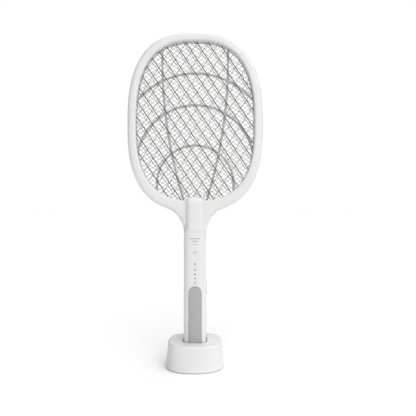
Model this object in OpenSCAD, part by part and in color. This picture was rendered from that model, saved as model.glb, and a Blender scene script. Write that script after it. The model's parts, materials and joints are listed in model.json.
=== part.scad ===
// Electric fly swatter standing in its charging base. Millimetres, +Z up, the front faces -Y.
// The origin is the centre of the base on the floor. The racket stands in the base's socket.

/* [Head] */
// Width of the head
head_w = 218; // [200:1:240]
// Height of the head's widest point above the floor
head_z = 388.5; // [380:0.5:400]
// Rise of the head above its widest point
head_rise = 148; // [140:1:160]
// Drop of the head's oval below its widest point
head_drop = 140.5; // [136:0.5:145]
// Squareness of the head's oval, where 2 is an ellipse
head_square = 2.65; // [2.4:0.05:2.9]
// Thickness of the head, front to back
head_t = 18; // [17:0.5:20]
// Width of the band round the net
band_w = 14; // [13:0.5:16]
// Height of the net opening's lowest point above the floor
opening_z = 266; // [262:1:268]
// Radius of the shoulders that run from the head into the handle
shoulder_r = 43; // [38:1:52]

/* [Nets] */
// Lean of the rods and of the nets' long wires, in degrees
rod_lean = -56.3; // [-60:0.1:-50]
// Spacing of the rods
rod_pitch = 14.82; // [13:0.01:17]
// Thickness of a rod
rod_d = 1.4; // [1.2:0.1:1.5]
// Lean of the nets' short wires, in degrees
rung_lean = 34.9; // [30:0.1:40]
// Spacing of the nets' short wires
rung_pitch = 5.74; // [5.2:0.01:8]
// Width of a net wire
wire_w = 0.8; // [0.6:0.1:1]
// Thickness of a net
net_t = 1.2; // [1:0.1:1.2]
// Distance from the head's mid plane to a net's inner face
net_y = 3.4; // [3.2:0.1:3.4]
// Width of the ribs behind the rods
rib_w = 3.6; // [3:0.1:4.5]

/* [Handle] */
// Width of the handle
handle_w = 36; // [34:0.5:38]
// Depth of the handle
handle_d = 32; // [31:0.5:34]
// Corner radius of the handle's section
handle_r = 8; // [7:0.5:9]
// Height of the seam between the head and the handle
seam_z = 216; // [210:1:220]
// Height of the handle's lower end
handle_z = 8.5; // [8.4:0.1:9]
// Wall of the handle's shells
shell_t = 2; // [1.8:0.1:2]
// Width of the soft grip
grip_w = 20; // [18:0.5:21]
// Height of the soft grip's top
grip_z = 129; // [124:0.1:130]
// Heights of the indicator lamps
lamp_zs = [136, 142.7, 149.1, 155.9, 165.4]; // [133:0.1:172]
// Height of the light sensor's window
sensor_z = 183.7; // [177:0.1:186]

/* [Trigger] */
// Length of the side button
button_l = 23.4; // [20:0.1:24]
// Width of the side button
button_w = 8; // [7:0.5:9]
// Height of the side button's middle
button_z = 126.2; // [125:0.1:128]
// How far the side button stands out
button_out = 1.5; // [1.4:0.1:2]

/* [Base] */
// Width of the base
base_w = 95; // [92:1:110]
// Depth of the base
base_d = 74; // [74:1:90]
// Height of the base
base_h = 41; // [40:0.5:46]
// Gap between the handle and its socket
socket_gap = 0.9; // [0.8:0.05:1.6]
// Squareness of the base's outline
base_square = 2.7; // [2.4:0.1:3]

/* [Hidden] */

eps = 0.01;          // overlap that makes two shapes of one piece join
seam = 0.05;         // half of the gap between two halves of a casing
bore_fn = 32;        // fineness of round things
far = 400;           // longer than any part
step = 3.75;         // turn between two points of an oval, in degrees

white = [0.93, 0.93, 0.93];
grey = [0.72, 0.72, 0.72];
steel = [0.55, 0.56, 0.58];
board = [0.1, 0.35, 0.2];

// Head
head_a = head_w / 2;
open_a = head_a - band_w;
open_rise = head_rise - band_w;
open_drop = head_z - opening_z;
lip_y = 4.7;         // inner face of the lip that holds a net
edge_y = 7.4;        // where the band's outer edge starts to step in
edge_in = 0.8;       // first step of the band's outer edge
face_in = 2.6;       // second step, at the face
face_out = 1.4;      // step of the opening's edge at the face
pocket = 5.5;        // how far the pocket for the nets reaches past the opening
net_grip = 4;        // how far a net reaches past the opening
rim_in = 0.3;        // inner edge of the spacers' rims, past the opening
rim_out = 5.3;       // outer edge of the spacers' rims
bus_in = 2;          // inner edge of the rods' bus strip
bus_out = 3.6;       // outer edge of the rods' bus strip
rod_gap = 0.05;      // gap on each side of the rods' layer
tongue_l = 12;       // how far the head's tongue reaches into the handle
tongue_t = 1.6;
tongue_gap = 0.15;

// Phases of the wires, measured square to them from the oval's centre
rod_phase = 2.4;
long_phase = 13.1;
rung_phase = 4.56;
back_rung_phase = 1.84;

// Spine: the raised back of the neck, front and rear
spine_w = 28.5;
spine_z = 273.3;
spine_dome = 5;
spine_steps = [[lip_y, 9, 0], [9, 13, 3], [13, 16, 12]]; // from, to, how much lower its top is
neck_w = 23;         // width of the cable space in the neck
neck_d = 13.8;       // its reach forward and back
neck_top = 258;
nose_y = [-12.2, -6.7];
nose_top = 267;      // top of the lamp's space in the spine's nose

// Lamp's window
lens_w = 18;
lens_y = [-12, -9.8];
lens_t = 2;

// Ribs: three arcs, given by centre height and radius, and two long bars
arcs = [[350, 122.7], [325.7, 95.3], [293.4, 62.3]];
arc_leg = 20;        // straight legs under the arcs' ends; only the lowest arc's stay inside the rim
bar_x = 53.3;
bar_r = 757;
bar_z = 493;

// Head screws, placed round the band by their angle on the oval
head_screw_turns = [10, 50, 90, 130, 170, 215, 325];
head_screw_in = 5.5;

// Screws: shank, hole, head, counterbore
screw_d = 2.6;
screw_hole_d = 2.8;
screw_head_d = 5.2;
screw_head_t = 2;
screw_sink_d = 5.6;
boss_d = 6.4;

// Handle
grip_t = 1.5;
grip_gap = 0.4;
grip_bottom = 16;
pad_z = 131.2;       // top of the thicker wall behind the grip
pad_y = 12.8;        // inner face of that wall
pad_w = 24;
cap_t = 3;
plug_h = 3.5;
handle_screw_zs = [22, 103, 198.5];
lamp_d = 2;
lamp_hole_d = 2.3;
sensor_w = 6.4;
sensor_h = 3.2;
pcb_w = 25;
pcb_y = -8.6;
pcb_t = 1.6;
pcb_low = 109;
pcb_high = 193;
lead_z = 186;        // lower ends of the nets' leads
pcb_screw_spots = [[-9.3, 113.5], [9.3, 188.5]];
battery_d = 18.4;
battery_l = 65;
battery_y = 0.4;
battery_z = 30;
pin_x = 7;
pad_d = 5.6;
pad_t = 1;
pad_hole_d = 4.6;

// Trigger
flange = 1.3;
flange_t = 1.1;
button_gap = 0.3;
switch_y = -3.8;
plunger_d = 3.4;
plunger_x = 12.9;    // where the button's post meets the switch's plunger

// Base
foot_h = 1;
cover_t = 2.4;
cavity_a = base_w / 2 - 6.5;
cavity_b = base_d / 2 - 6.5;
roof_t = 2.4;
floor_z = handle_z - 0.3;
floor_t = 2;
well_wall = 2;
board_z = 3.6;
board_t = 1.2;
pin_d = 2;
barrel_d = 3.4;
barrel_bore_d = 2.3;
pin_top = handle_z + 0.3;
pin_bottom = 6.1;
port_w = 9;
port_h = 3.2;
base_screw_spots = [for (x = [-33, 33], y = [-11, 11]) [x, y]];
foot_spots = [for (x = [-26, 26], y = [-19, 19]) [x, y]];
foot_d = 10;

// ---- outlines ----

function spow(v, k) = sign(v) * pow(abs(v), k);

// A point of a rounded oval at a turn, moved in along its normal; its upper and lower halves differ
function oval_point(a, up, down, n, turn, inset) =
  let (
    b = turn % 360 > 180 || turn < 0 ? down : up,
    x = a * spow(cos(turn), 2 / n),
    z = b * spow(sin(turn), 2 / n),
    g = [spow(x / a, n - 1) / a, spow(z / b, n - 1) / b]
  ) [x, z] - inset * g / norm(g);

function head_point(turn, inset = 0) =
  [0, head_z] + oval_point(head_a, head_rise, head_drop, head_square, turn, inset);

function opening_point(turn, grow = 0) =
  [0, head_z] + oval_point(open_a, open_rise, open_drop, head_square, turn, -grow);

function base_oval(a, b) =
  [for (t = [0:7.5:359]) oval_point(a, b, b, base_square, t, 0)];

// Shoulder arcs: circles that touch the handle's side and the head's oval
shoulder_x = handle_w / 2 + shoulder_r;
function nearest(c, lo, hi, k = 0) =
  k > 40 ? (lo + hi) / 2
  : let (p = lo + (hi - lo) / 3, q = hi - (hi - lo) / 3)
    norm(head_point(p) - c) < norm(head_point(q) - c)
    ? nearest(c, lo, q, k + 1) : nearest(c, p, hi, k + 1);
function shoulder_height(lo, hi, k = 0) =
  k > 24 ? (lo + hi) / 2
  : let (m = (lo + hi) / 2, c = [shoulder_x, m])
    norm(head_point(nearest(c, -89, -20)) - c) > shoulder_r
    ? shoulder_height(m, hi, k + 1) : shoulder_height(lo, m, k + 1);
shoulder_z = shoulder_height(180, 240);
shoulder_c = [shoulder_x, shoulder_z];
shoulder_turn = nearest(shoulder_c, -89, -20);
shoulder_end = head_point(shoulder_turn) - shoulder_c;
shoulder_angle = atan2(shoulder_end[1], shoulder_end[0]);

// Right side of the head and neck, from the top down to below the seam
function head_side(inset) = [
  for (i = [0:36]) head_point(90 + (shoulder_turn - 90) * i / 36, inset),
  for (i = [1:10])
    let (turn = shoulder_angle + (180 - shoulder_angle) * i / 10)
    shoulder_c + (shoulder_r + inset) * [cos(turn), sin(turn)],
  [handle_w / 2 - inset, seam_z - 20]
];

module head_outline(inset) {
  side = head_side(inset);
  last = len(side) - 1;
  intersection() {
    polygon([for (p = side) p, for (i = [last:-1:1]) [-side[i][0], side[i][1]]]);
    translate([-far / 2, seam_z]) square([far, far]);
  }
}

module opening_outline(grow) {
  polygon([for (t = [0:step:359]) opening_point(t, grow)]);
}

module opening_ring(inner, outer) {
  difference() {
    opening_outline(outer);
    opening_outline(inner);
  }
}

// A flat outline drawn in X and Z, standing between two depths
module slab(y0, y1) {
  translate([0, y1, 0]) rotate([90, 0, 0]) linear_extrude(y1 - y0) children();
}

module disc_y(x, z, y0, y1, d) {
  translate([x, y0, z]) rotate([-90, 0, 0]) cylinder(h = y1 - y0, d = d, $fn = bore_fn);
}

module box(x, y, z) {
  translate([x[0], y[0], z[0]]) cube([x[1] - x[0], y[1] - y[0], z[1] - z[0]]);
}

// Mirrors a shape front to back when side is 1; the shapes are drawn on the front, at -Y
module on_side(side) {
  mirror([0, side, 0]) children();
}

// ---- wires ----

function in_net(p, grow) =
  let (b = p[1] > 0 ? open_rise + grow : open_drop + grow)
  pow(abs(p[0]) / (open_a + grow), head_square) + pow(abs(p[1]) / b, head_square) < 1;

function reach(p, u, lo, hi, k = 0) =
  k > 20 ? lo
  : let (m = (lo + hi) / 2)
    in_net(p + m * u, net_grip) ? reach(p, u, m, hi, k + 1) : reach(p, u, lo, m, k + 1);

// One straight wire across the net, a given distance from the oval's centre
module strip(lean, offset, w) {
  u = [cos(lean), sin(lean)];
  q = [-sin(lean), cos(lean)] * offset;
  if (in_net(q, -2)) {
    ahead = reach(q, u, 0, far);
    behind = reach(q, -u, 0, far);
    translate([q[0], head_z + q[1]]) rotate(lean) translate([-behind, -w / 2])
      square([ahead + behind, w]);
  }
}

module strips(lean, pitch, phase, w) {
  n = ceil(head_rise / pitch);
  for (i = [-n:n]) strip(lean, i * pitch + phase, w);
}

module net(phase) {
  strips(rod_lean, rod_pitch, long_phase, wire_w);
  strips(rung_lean, rung_pitch, phase, wire_w);
}

// ---- head ----

module spine_outline(drop) {
  top = spine_z - drop;
  r = (pow(spine_w / 2, 2) + pow(spine_dome, 2)) / (2 * spine_dome);
  half = spine_w / 2;
  polygon([
    [-half, seam_z], [half, seam_z],
    for (i = [8:-1:-8]) [half * i / 8, top - r + sqrt(r * r - pow(half * i / 8, 2))]
  ]);
}

function section_points(w, d, r, inset) = [
  for (q = [0:3], i = [0:6])
    let (a = 90 * q + 15 * i, sx = q == 0 || q == 3 ? 1 : -1, sy = q < 2 ? 1 : -1)
    [sx * (w / 2 - r), sy * (d / 2 - r)] + (r - inset) * [cos(a), sin(a)]
];

module handle_section(inset) {
  polygon(section_points(handle_w, handle_d, handle_r, inset));
}

// Half of a tube with the handle's section, on the front
module half_section(outer, inner) {
  intersection() {
    difference() {
      handle_section(outer);
      handle_section(inner);
    }
    translate([-far / 2, -far - seam]) square([far, far]);
  }
}

module head_screw_places() {
  for (t = head_screw_turns) translate([head_point(t, head_screw_in)[0], 0, head_point(t, head_screw_in)[1]])
    children();
}

// The front half of the head's casing; the rear half is its mirror image but for its screw holes
module head_half() {
  difference() {
    union() {
      slab(-lip_y - eps, -seam) difference() {
        head_outline(0);
        opening_outline(pocket);
      }
      slab(-edge_y - eps, -lip_y) difference() {
        head_outline(edge_in);
        opening_outline(0);
      }
      slab(-head_t / 2, -edge_y) difference() {
        head_outline(face_in);
        opening_outline(face_out);
      }
      for (s = spine_steps)
        slab(-min(s[1], handle_d / 2), -s[0] + eps) intersection() {
          spine_outline(s[2]);
          translate([-far / 2, seam_z]) square([far, far]);
        }
    }
    box([-neck_w / 2, neck_w / 2], [-neck_d, 1], [seam_z - 1, neck_top]);
    box([-neck_w / 2, neck_w / 2], [-lip_y, 1], [neck_top - 1, opening_z - pocket + 1]);
  }
  translate([0, 0, seam_z - tongue_l]) linear_extrude(tongue_l + 2)
    half_section(shell_t + tongue_gap, shell_t + tongue_gap + tongue_t);
}

// The lamp's window, an arched strip in the top of the spine's nose
module lens_shape(grow) {
  slab(lens_y[0] - grow, lens_y[1] + grow) intersection() {
    difference() {
      translate([0, grow]) spine_outline(3);
      translate([0, -lens_t - grow]) spine_outline(3);
    }
    translate([-lens_w / 2 - grow, seam_z]) square([lens_w + 2 * grow, far]);
  }
}

module head_front_frame() {
  color(white) difference() {
    head_half();
    box([-9.5, 9.5], nose_y, [neck_top - 2, nose_top]);
    lens_shape(0.1);
    head_screw_places() disc_y(0, 0, -lip_y - 0.6, 0, screw_hole_d);
  }
}

module head_back_frame() {
  color(white) difference() {
    on_side(1) head_half();
    head_screw_places() {
      disc_y(0, 0, -1, far, screw_hole_d);
      disc_y(0, 0, head_t / 2 - screw_head_t - 0.4, far, screw_sink_d);
    }
  }
}

module head_screws() {
  top = head_t / 2 - 0.4;
  color(steel) head_screw_places() difference() {
    union() {
      disc_y(0, 0, -lip_y - 0.4, top - screw_head_t + eps, screw_d);
      disc_y(0, 0, top - screw_head_t, top, screw_head_d);
    }
    box([-1.6, 1.6], [top - 0.8, top + 1], [-0.35, 0.35]);
    box([-0.35, 0.35], [top - 0.8, top + 1], [-1.6, 1.6]);
  }
}

module lamp_lens() {
  color([0.8, 0.78, 0.9]) lens_shape(0);
}

module lamp_board() {
  color(board) box([-9, 9], [-12, -7], [neck_top + 0.2, neck_top + 1.2]);
}

module uv_leds() {
  color([0.75, 0.7, 0.95]) for (x = [-6, 0, 6]) translate([x, -10, neck_top + 1.2]) {
    cylinder(h = 2.4, d = 3, $fn = bore_fn);
    translate([0, 0, 2.4]) sphere(d = 3, $fn = bore_fn);
  }
}

module front_net() {
  color(steel) slab(-net_y - net_t, -net_y) net(rung_phase);
}

module back_net() {
  color(steel) slab(net_y, net_y + net_t) mirror([1, 0]) net(back_rung_phase);
}

module front_spacer() {
  color(white) slab(-net_y + rod_gap, -rod_d / 2 - rod_gap) opening_ring(rim_in, rim_out);
}

module hv_grid() {
  color(steel) slab(-rod_d / 2, rod_d / 2) {
    strips(rod_lean, rod_pitch, rod_phase, rod_d);
    opening_ring(bus_in, bus_out);
  }
}

// One long bar's middle line, at a height
function bar_line(z) = bar_x - bar_r + sqrt(bar_r * bar_r - pow(min(0, z - bar_z), 2));

module bar_outline(side) {
  zs = [for (i = [0:24]) opening_z - 4 + (head_rise + open_drop) * i / 24];
  polygon([
    for (z = zs) [side * bar_line(z) + rib_w / 2, z],
    for (i = [24:-1:0]) [side * bar_line(zs[i]) - rib_w / 2, zs[i]]
  ]);
}

module arc_outline(z, r) {
  polygon([
    [r + rib_w / 2, z - arc_leg],
    for (t = [0:4:180]) [0, z] + (r + rib_w / 2) * [cos(t), sin(t)],
    [-r - rib_w / 2, z - arc_leg],
    [-r + rib_w / 2, z - arc_leg],
    for (t = [180:-4:0]) [0, z] + (r - rib_w / 2) * [cos(t), sin(t)],
    [r - rib_w / 2, z - arc_leg]
  ]);
}

module rib_outline() {
  for (a = arcs) arc_outline(a[0], a[1]);
  for (s = [-1, 1]) bar_outline(s);
}

module rod_carrier() {
  color(white) slab(rod_d / 2 + rod_gap, net_y - rod_gap) {
    opening_ring(rim_in, rim_out);
    intersection() {
      rib_outline();
      opening_outline(rim_in + 1);
    }
  }
}

module lead(x, y, z0, z1, d = 1.2) {
  translate([x, y, z0]) cylinder(h = z1 - z0, d = d, $fn = bore_fn);
}

module grid_leads() {
  color([0.75, 0.1, 0.1]) {
    lead(7, 0, lead_z, opening_z - bus_out - 0.2);
    for (s = [-1, 1]) lead(-8 - s, s * (net_y + net_t / 2), lead_z, opening_z - net_grip - 0.1);
  }
}

// ---- handle ----

module slot_outline(w, h) {
  hull_r = min(w, h) / 2;
  square([w - (w > h ? 2 * hull_r : 0), h - (h > w ? 2 * hull_r : 0)], center = true);
  for (s = [-1, 1])
    translate(w > h ? [s * (w / 2 - hull_r), 0] : [0, s * (h / 2 - hull_r)])
      circle(hull_r, $fn = bore_fn);
}

module grip_outline(grow) {
  r = grip_w / 2 + grow;
  top = grip_z - grip_w / 2;
  translate([0, top]) circle(r, $fn = 64);
  translate([-r, grip_bottom - grow]) square([2 * r, top - grip_bottom + grow]);
}

module button_hole() {
  translate([shell_t + 10, 0, button_z]) rotate([0, 90, 0]) linear_extrude(far)
    slot_outline(button_l + 2 * button_gap, button_w + 2 * button_gap);
}

// The front half of the handle's casing, before its own openings
module handle_half(inner_y) {
  difference() {
    union() {
      translate([0, 0, handle_z + cap_t + seam]) linear_extrude(seam_z - handle_z - cap_t - 2 * seam)
        half_section(0, shell_t);
      for (z = handle_screw_zs) disc_y(0, z, -inner_y, -seam, boss_d);
    }
    button_hole();
  }
}

module handle_front_shell() {
  low = handle_z + cap_t + plug_h + 0.3;
  color(white) difference() {
    union() {
      handle_half(handle_d / 2 - shell_t + eps);
      box([-pad_w / 2, pad_w / 2], [-handle_d / 2 + shell_t - eps, -pad_y], [low, pad_z]);
      for (p = pcb_screw_spots) disc_y(p[0], p[1], -handle_d / 2 + shell_t - eps, pcb_y - seam, 5);
    }
    slab(-far, -handle_d / 2 + grip_t + 0.1) grip_outline(grip_gap);
    for (z = lamp_zs) disc_y(0, z, -far, 0, lamp_hole_d);
    slab(-far, -handle_d / 2 + shell_t + 1) translate([0, sensor_z])
      slot_outline(sensor_w + 0.2, sensor_h + 0.2);
    for (z = handle_screw_zs) disc_y(0, z, -11, 1, screw_hole_d);
    for (p = pcb_screw_spots) disc_y(p[0], p[1], -13, 0, 2);
  }
}

module handle_back_shell() {
  color(white) difference() {
    on_side(1) handle_half(handle_d / 2 - shell_t + eps);
    for (z = handle_screw_zs) {
      disc_y(0, z, -1, far, screw_hole_d);
      disc_y(0, z, handle_d / 2 - screw_head_t - 0.6, far, screw_sink_d);
    }
  }
}

module handle_screws() {
  top = handle_d / 2 - 0.6;
  color(steel) for (z = handle_screw_zs) translate([0, 0, z]) difference() {
    union() {
      disc_y(0, 0, -10.8, top - screw_head_t + eps, screw_d);
      disc_y(0, 0, top - screw_head_t, top, screw_head_d);
    }
    box([-1.6, 1.6], [top - 0.8, top + 1], [-0.35, 0.35]);
    box([-0.35, 0.35], [top - 0.8, top + 1], [-1.6, 1.6]);
  }
}

module grip_inlay() {
  color(grey) slab(-handle_d / 2, -handle_d / 2 + grip_t) grip_outline(0);
}

module end_cap() {
  color(white) difference() {
    union() {
      translate([0, 0, handle_z]) linear_extrude(cap_t) handle_section(0);
      translate([0, 0, handle_z + cap_t - eps]) linear_extrude(plug_h) difference() {
        handle_section(shell_t + tongue_gap);
        handle_section(shell_t + tongue_gap + tongue_t);
      }
    }
    for (x = [-pin_x, pin_x]) translate([x, 0, 0]) {
      cylinder(h = far, d = pad_hole_d, $fn = bore_fn);
      translate([0, 0, pin_top + 0.3]) cylinder(h = far, d = pad_d + 0.2, $fn = bore_fn);
    }
  }
}

module contact_pads() {
  color([0.85, 0.7, 0.3]) for (x = [-pin_x, pin_x]) translate([x, 0, pin_top + 0.3])
    cylinder(h = pad_t, d = pad_d, $fn = bore_fn);
}

// Five clear studs on one moulded bar
module light_pipe() {
  inner = -handle_d / 2 + shell_t;
  color([0.35, 0.35, 0.35]) {
    for (z = lamp_zs) disc_y(0, z, -handle_d / 2, inner + 1.4, lamp_d);
    box([-1.6, 1.6], [inner + 0.1, inner + 1.4], [lamp_zs[0] - 2, lamp_zs[4] + 2]);
  }
}

module sensor_window() {
  inner = -handle_d / 2 + shell_t;
  color([0.8, 0.8, 0.8]) {
    slab(-handle_d / 2, inner + 0.2) translate([0, sensor_z]) slot_outline(sensor_w, sensor_h);
    slab(inner + 0.1, inner + 1.1) translate([0, sensor_z]) slot_outline(sensor_w + 2, sensor_h + 2);
  }
}

module indicator_leds() {
  color([0.9, 0.9, 0.8]) for (z = lamp_zs)
    box([-1, 1], [pcb_y - 0.8, pcb_y], [z - 0.8, z + 0.8]);
}

module main_pcb() {
  color(board) difference() {
    box([-pcb_w / 2, pcb_w / 2], [pcb_y, pcb_y + pcb_t], [pcb_low, pcb_high]);
    for (p = pcb_screw_spots) disc_y(p[0], p[1], -far, far, 2.2);
  }
}

module pcb_screws() {
  face = pcb_y + pcb_t;
  color(steel) for (p = pcb_screw_spots) {
    disc_y(p[0], p[1], face - 5, face + eps, 1.9);
    disc_y(p[0], p[1], face, face + 1.4, 3.8);
  }
}

module hv_transformer() {
  face = pcb_y + pcb_t;
  color([0.25, 0.25, 0.27]) {
    box([-8, 8], [face, face + 3], [160, 177]);
    box([-8, 8], [face + 9, face + 12], [160, 177]);
    disc_y(0, 168.5, face + 2, face + 10, 13);
  }
}

module hv_capacitor() {
  face = pcb_y + pcb_t;
  color([0.7, 0.25, 0.15]) box([-9, 9], [face, face + 9], [142, 152.5]);
}

module hv_diodes() {
  face = pcb_y + pcb_t;
  color([0.12, 0.12, 0.12]) for (i = [0:3]) translate([-6.6 + 4.4 * i, face + 1.5, 132])
    cylinder(h = 6, d = 2.8, $fn = bore_fn);
}

module tact_switch() {
  face = pcb_y + pcb_t;
  color([0.2, 0.2, 0.22]) difference() {
    box([7.2, 11.3], [face, face + 6.4], [button_z - 3.2, button_z + 3.2]);
    translate([8.2, switch_y, button_z]) rotate([0, 90, 0]) cylinder(h = 9, d = 3.8, $fn = bore_fn);
  }
}

module switch_plunger() {
  color([0.85, 0.85, 0.85]) translate([plunger_x - 3, switch_y, button_z]) rotate([0, 90, 0])
    cylinder(h = 3, d = plunger_d, $fn = bore_fn);
}

module battery_cell() {
  color([0.2, 0.45, 0.75]) translate([0, battery_y, battery_z]) {
    cylinder(h = battery_l, d = battery_d, $fn = bore_fn);
    translate([0, 0, battery_l - eps]) cylinder(h = 0.8, d = 5.5, $fn = bore_fn);
  }
}

module battery_tabs() {
  top = battery_z + battery_l + 0.8;
  color(steel) {
    box([-9, 12], [battery_y - 3, battery_y + 3], [battery_z - 0.4, battery_z]);
    box([-12, 3], [battery_y - 3, battery_y + 3], [top, top + 0.4]);
  }
}

module battery_leads() {
  color([0.1, 0.1, 0.1]) {
    lead(11.2, battery_y, battery_z, pcb_low + 3);
    lead(-11.2, battery_y, battery_z + battery_l + 1.2, pcb_low + 3);
  }
}

// ---- trigger ----

module trigger_button() {
  half = handle_w / 2;
  inner = half - shell_t - button_gap - flange_t;
  color(white) {
    translate([half - shell_t - button_gap - eps, 0, button_z]) rotate([0, 90, 0])
      linear_extrude(shell_t + button_gap + button_out + eps) slot_outline(button_l, button_w);
    translate([inner, 0, button_z]) rotate([0, 90, 0])
      linear_extrude(flange_t) slot_outline(button_l + 2 * flange, button_w + 2 * flange);
    translate([plunger_x, switch_y, button_z]) rotate([0, 90, 0])
      cylinder(h = inner - plunger_x + eps, d = plunger_d, $fn = bore_fn);
  }
}

// ---- base ----

// Heights of the shell's outside, with how far it stands in from the full width and depth
base_levels = [
  [foot_h, 0.3], [foot_h + 1.2, 0], [foot_h + 2.6, 0.4], [foot_h + 5, 1.3], [foot_h + 9, 1.9],
  [base_h - 4, 4], [base_h - 2, 4.7], [base_h - 0.6, 6], [base_h, 7.6]
];

module base_outside() {
  count = 48;
  levels = len(base_levels);
  points = [
    for (l = base_levels)
      for (p = base_oval(base_w / 2 - l[1], base_d / 2 - l[1])) [p[0], p[1], l[0]]
  ];
  walls = [
    for (k = [0:levels - 2], i = [0:count - 1])
      [k * count + i, (k + 1) * count + i, (k + 1) * count + (i + 1) % count, k * count + (i + 1) % count]
  ];
  lid = [for (i = [count - 1:-1:0]) (levels - 1) * count + i];
  polyhedron(points, concat([[for (i = [0:count - 1]) i]], walls, [lid]));
}

module well(grow, z0, z1) {
  translate([0, 0, z0]) linear_extrude(z1 - z0) handle_section(-grow);
}

module base_shell() {
  color(white) difference() {
    union() {
      difference() {
        base_outside();
        translate([0, 0, -1]) linear_extrude(base_h - roof_t + 1) polygon(base_oval(cavity_a, cavity_b));
      }
      well(socket_gap + well_wall, floor_z - floor_t, base_h - roof_t + eps);
      for (p = base_screw_spots) translate([p[0], p[1], foot_h + cover_t + seam])
        cylinder(h = base_h - roof_t - foot_h - cover_t, d = boss_d, $fn = bore_fn);
    }
    well(socket_gap, floor_z, base_h + 1);
    well(socket_gap + 0.8, base_h - 0.8, base_h + 1);
    for (x = [-pin_x, pin_x]) translate([x, 0, 0])
      cylinder(h = floor_z + 1, d = barrel_d + 0.2, $fn = bore_fn);
    for (p = base_screw_spots) translate([p[0], p[1], 0])
      cylinder(h = 14, d = screw_hole_d, $fn = bore_fn);
    box([-port_w / 2 - 0.2, port_w / 2 + 0.2], [cavity_b - 3, far],
        [board_z + board_t - 0.2, board_z + board_t + port_h + 0.2]);
  }
}

module base_bottom_cover() {
  color(white) difference() {
    translate([0, 0, foot_h]) linear_extrude(cover_t) polygon(base_oval(cavity_a - 0.2, cavity_b - 0.2));
    for (p = base_screw_spots) translate([p[0], p[1], 0]) {
      cylinder(h = far, d = screw_hole_d + 0.2, $fn = bore_fn);
      cylinder(h = foot_h + 1.4, d = screw_sink_d, $fn = bore_fn);
    }
    for (p = foot_spots) translate([p[0], p[1], 0]) cylinder(h = foot_h + 0.8, d = foot_d + 0.3, $fn = bore_fn);
  }
}

module base_feet() {
  color([0.3, 0.3, 0.3]) for (p = foot_spots) translate([p[0], p[1], 0])
    cylinder(h = foot_h + 0.8, d = foot_d, $fn = bore_fn);
}

module base_screws() {
  head_z0 = foot_h + 0.3;
  head_h = 1.1;
  color(steel) for (p = base_screw_spots) translate([p[0], p[1], 0]) difference() {
    union() {
      translate([0, 0, head_z0]) cylinder(h = head_h, d = screw_head_d, $fn = bore_fn);
      translate([0, 0, head_z0 + head_h - eps]) cylinder(h = 11, d = screw_d, $fn = bore_fn);
    }
    box([-1.6, 1.6], [-0.35, 0.35], [0, head_z0 + 0.6]);
    box([-0.35, 0.35], [-1.6, 1.6], [0, head_z0 + 0.6]);
  }
}

module base_pcb() {
  color(board) box([-13, 13], [-10, cavity_b - 1.2], [board_z, board_z + board_t]);
}

module pin_barrels() {
  color([0.85, 0.7, 0.3]) for (x = [-pin_x, pin_x]) translate([x, 0, board_z + board_t]) difference() {
    cylinder(h = floor_z - board_z - board_t, d = barrel_d, $fn = bore_fn);
    cylinder(h = far, d = barrel_bore_d, center = true, $fn = bore_fn);
  }
}

module charging_pin(side) {
  color([0.85, 0.7, 0.3]) translate([side * pin_x, 0, pin_bottom]) {
    cylinder(h = pin_top - pin_bottom - pin_d / 2, d = pin_d, $fn = bore_fn);
    translate([0, 0, pin_top - pin_bottom - pin_d / 2]) sphere(d = pin_d, $fn = bore_fn);
  }
}

module charging_port() {
  y0 = cavity_b - 2.8;
  y1 = base_d / 2 - 2.2;
  z0 = board_z + board_t;
  color(steel) difference() {
    box([-port_w / 2, port_w / 2], [y0, y1], [z0, z0 + port_h]);
    box([-port_w / 2 + 0.4, port_w / 2 - 0.4], [y0 + 0.8, far], [z0 + 0.4, z0 + port_h - 0.4]);
  }
  color([0.1, 0.1, 0.1]) box([-3.2, 3.2], [y0 + 0.8 - eps, y1 - 1.6], [z0 + 1.3, z0 + 1.9]);
}

base_shell();
base_bottom_cover();
base_feet();
base_screws();
base_pcb();
pin_barrels();
charging_port();
charging_pin(-1);  // charging_pin_left
charging_pin(1);  // charging_pin_right
head_front_frame();
head_back_frame();
front_net();
front_spacer();
hv_grid();
rod_carrier();
back_net();
head_screws();
lamp_lens();
lamp_board();
uv_leds();
grid_leads();
handle_front_shell();
handle_back_shell();
grip_inlay();
end_cap();
contact_pads();
light_pipe();
sensor_window();
indicator_leds();
main_pcb();
pcb_screws();
hv_transformer();
hv_capacitor();
hv_diodes();
tact_switch();
battery_cell();
battery_tabs();
battery_leads();
handle_screws();
trigger_button();
switch_plunger();
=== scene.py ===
"""Looks of an electric fly swatter that stands in its charging base, in metres and in the frame's axes."""

import json
import math

import bmesh
import bpy
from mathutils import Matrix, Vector


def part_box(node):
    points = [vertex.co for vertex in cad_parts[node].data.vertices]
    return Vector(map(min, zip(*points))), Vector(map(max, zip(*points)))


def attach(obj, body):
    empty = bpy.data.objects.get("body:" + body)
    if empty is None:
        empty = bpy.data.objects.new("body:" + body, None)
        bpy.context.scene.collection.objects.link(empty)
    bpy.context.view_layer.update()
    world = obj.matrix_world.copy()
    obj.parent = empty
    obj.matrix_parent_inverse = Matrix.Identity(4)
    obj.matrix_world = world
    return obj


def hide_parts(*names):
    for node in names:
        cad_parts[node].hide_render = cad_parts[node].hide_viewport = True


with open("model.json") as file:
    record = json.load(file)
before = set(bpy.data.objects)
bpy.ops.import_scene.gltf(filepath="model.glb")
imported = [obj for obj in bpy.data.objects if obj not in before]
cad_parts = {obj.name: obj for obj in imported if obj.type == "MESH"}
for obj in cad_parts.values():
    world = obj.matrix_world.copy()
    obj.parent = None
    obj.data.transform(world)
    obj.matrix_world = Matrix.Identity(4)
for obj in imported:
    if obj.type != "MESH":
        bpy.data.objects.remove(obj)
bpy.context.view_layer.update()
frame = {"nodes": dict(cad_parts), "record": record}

MM = 0.001

# ---- sizes: boxes come from the frame, and the rest are the design's own numbers ----

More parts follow.
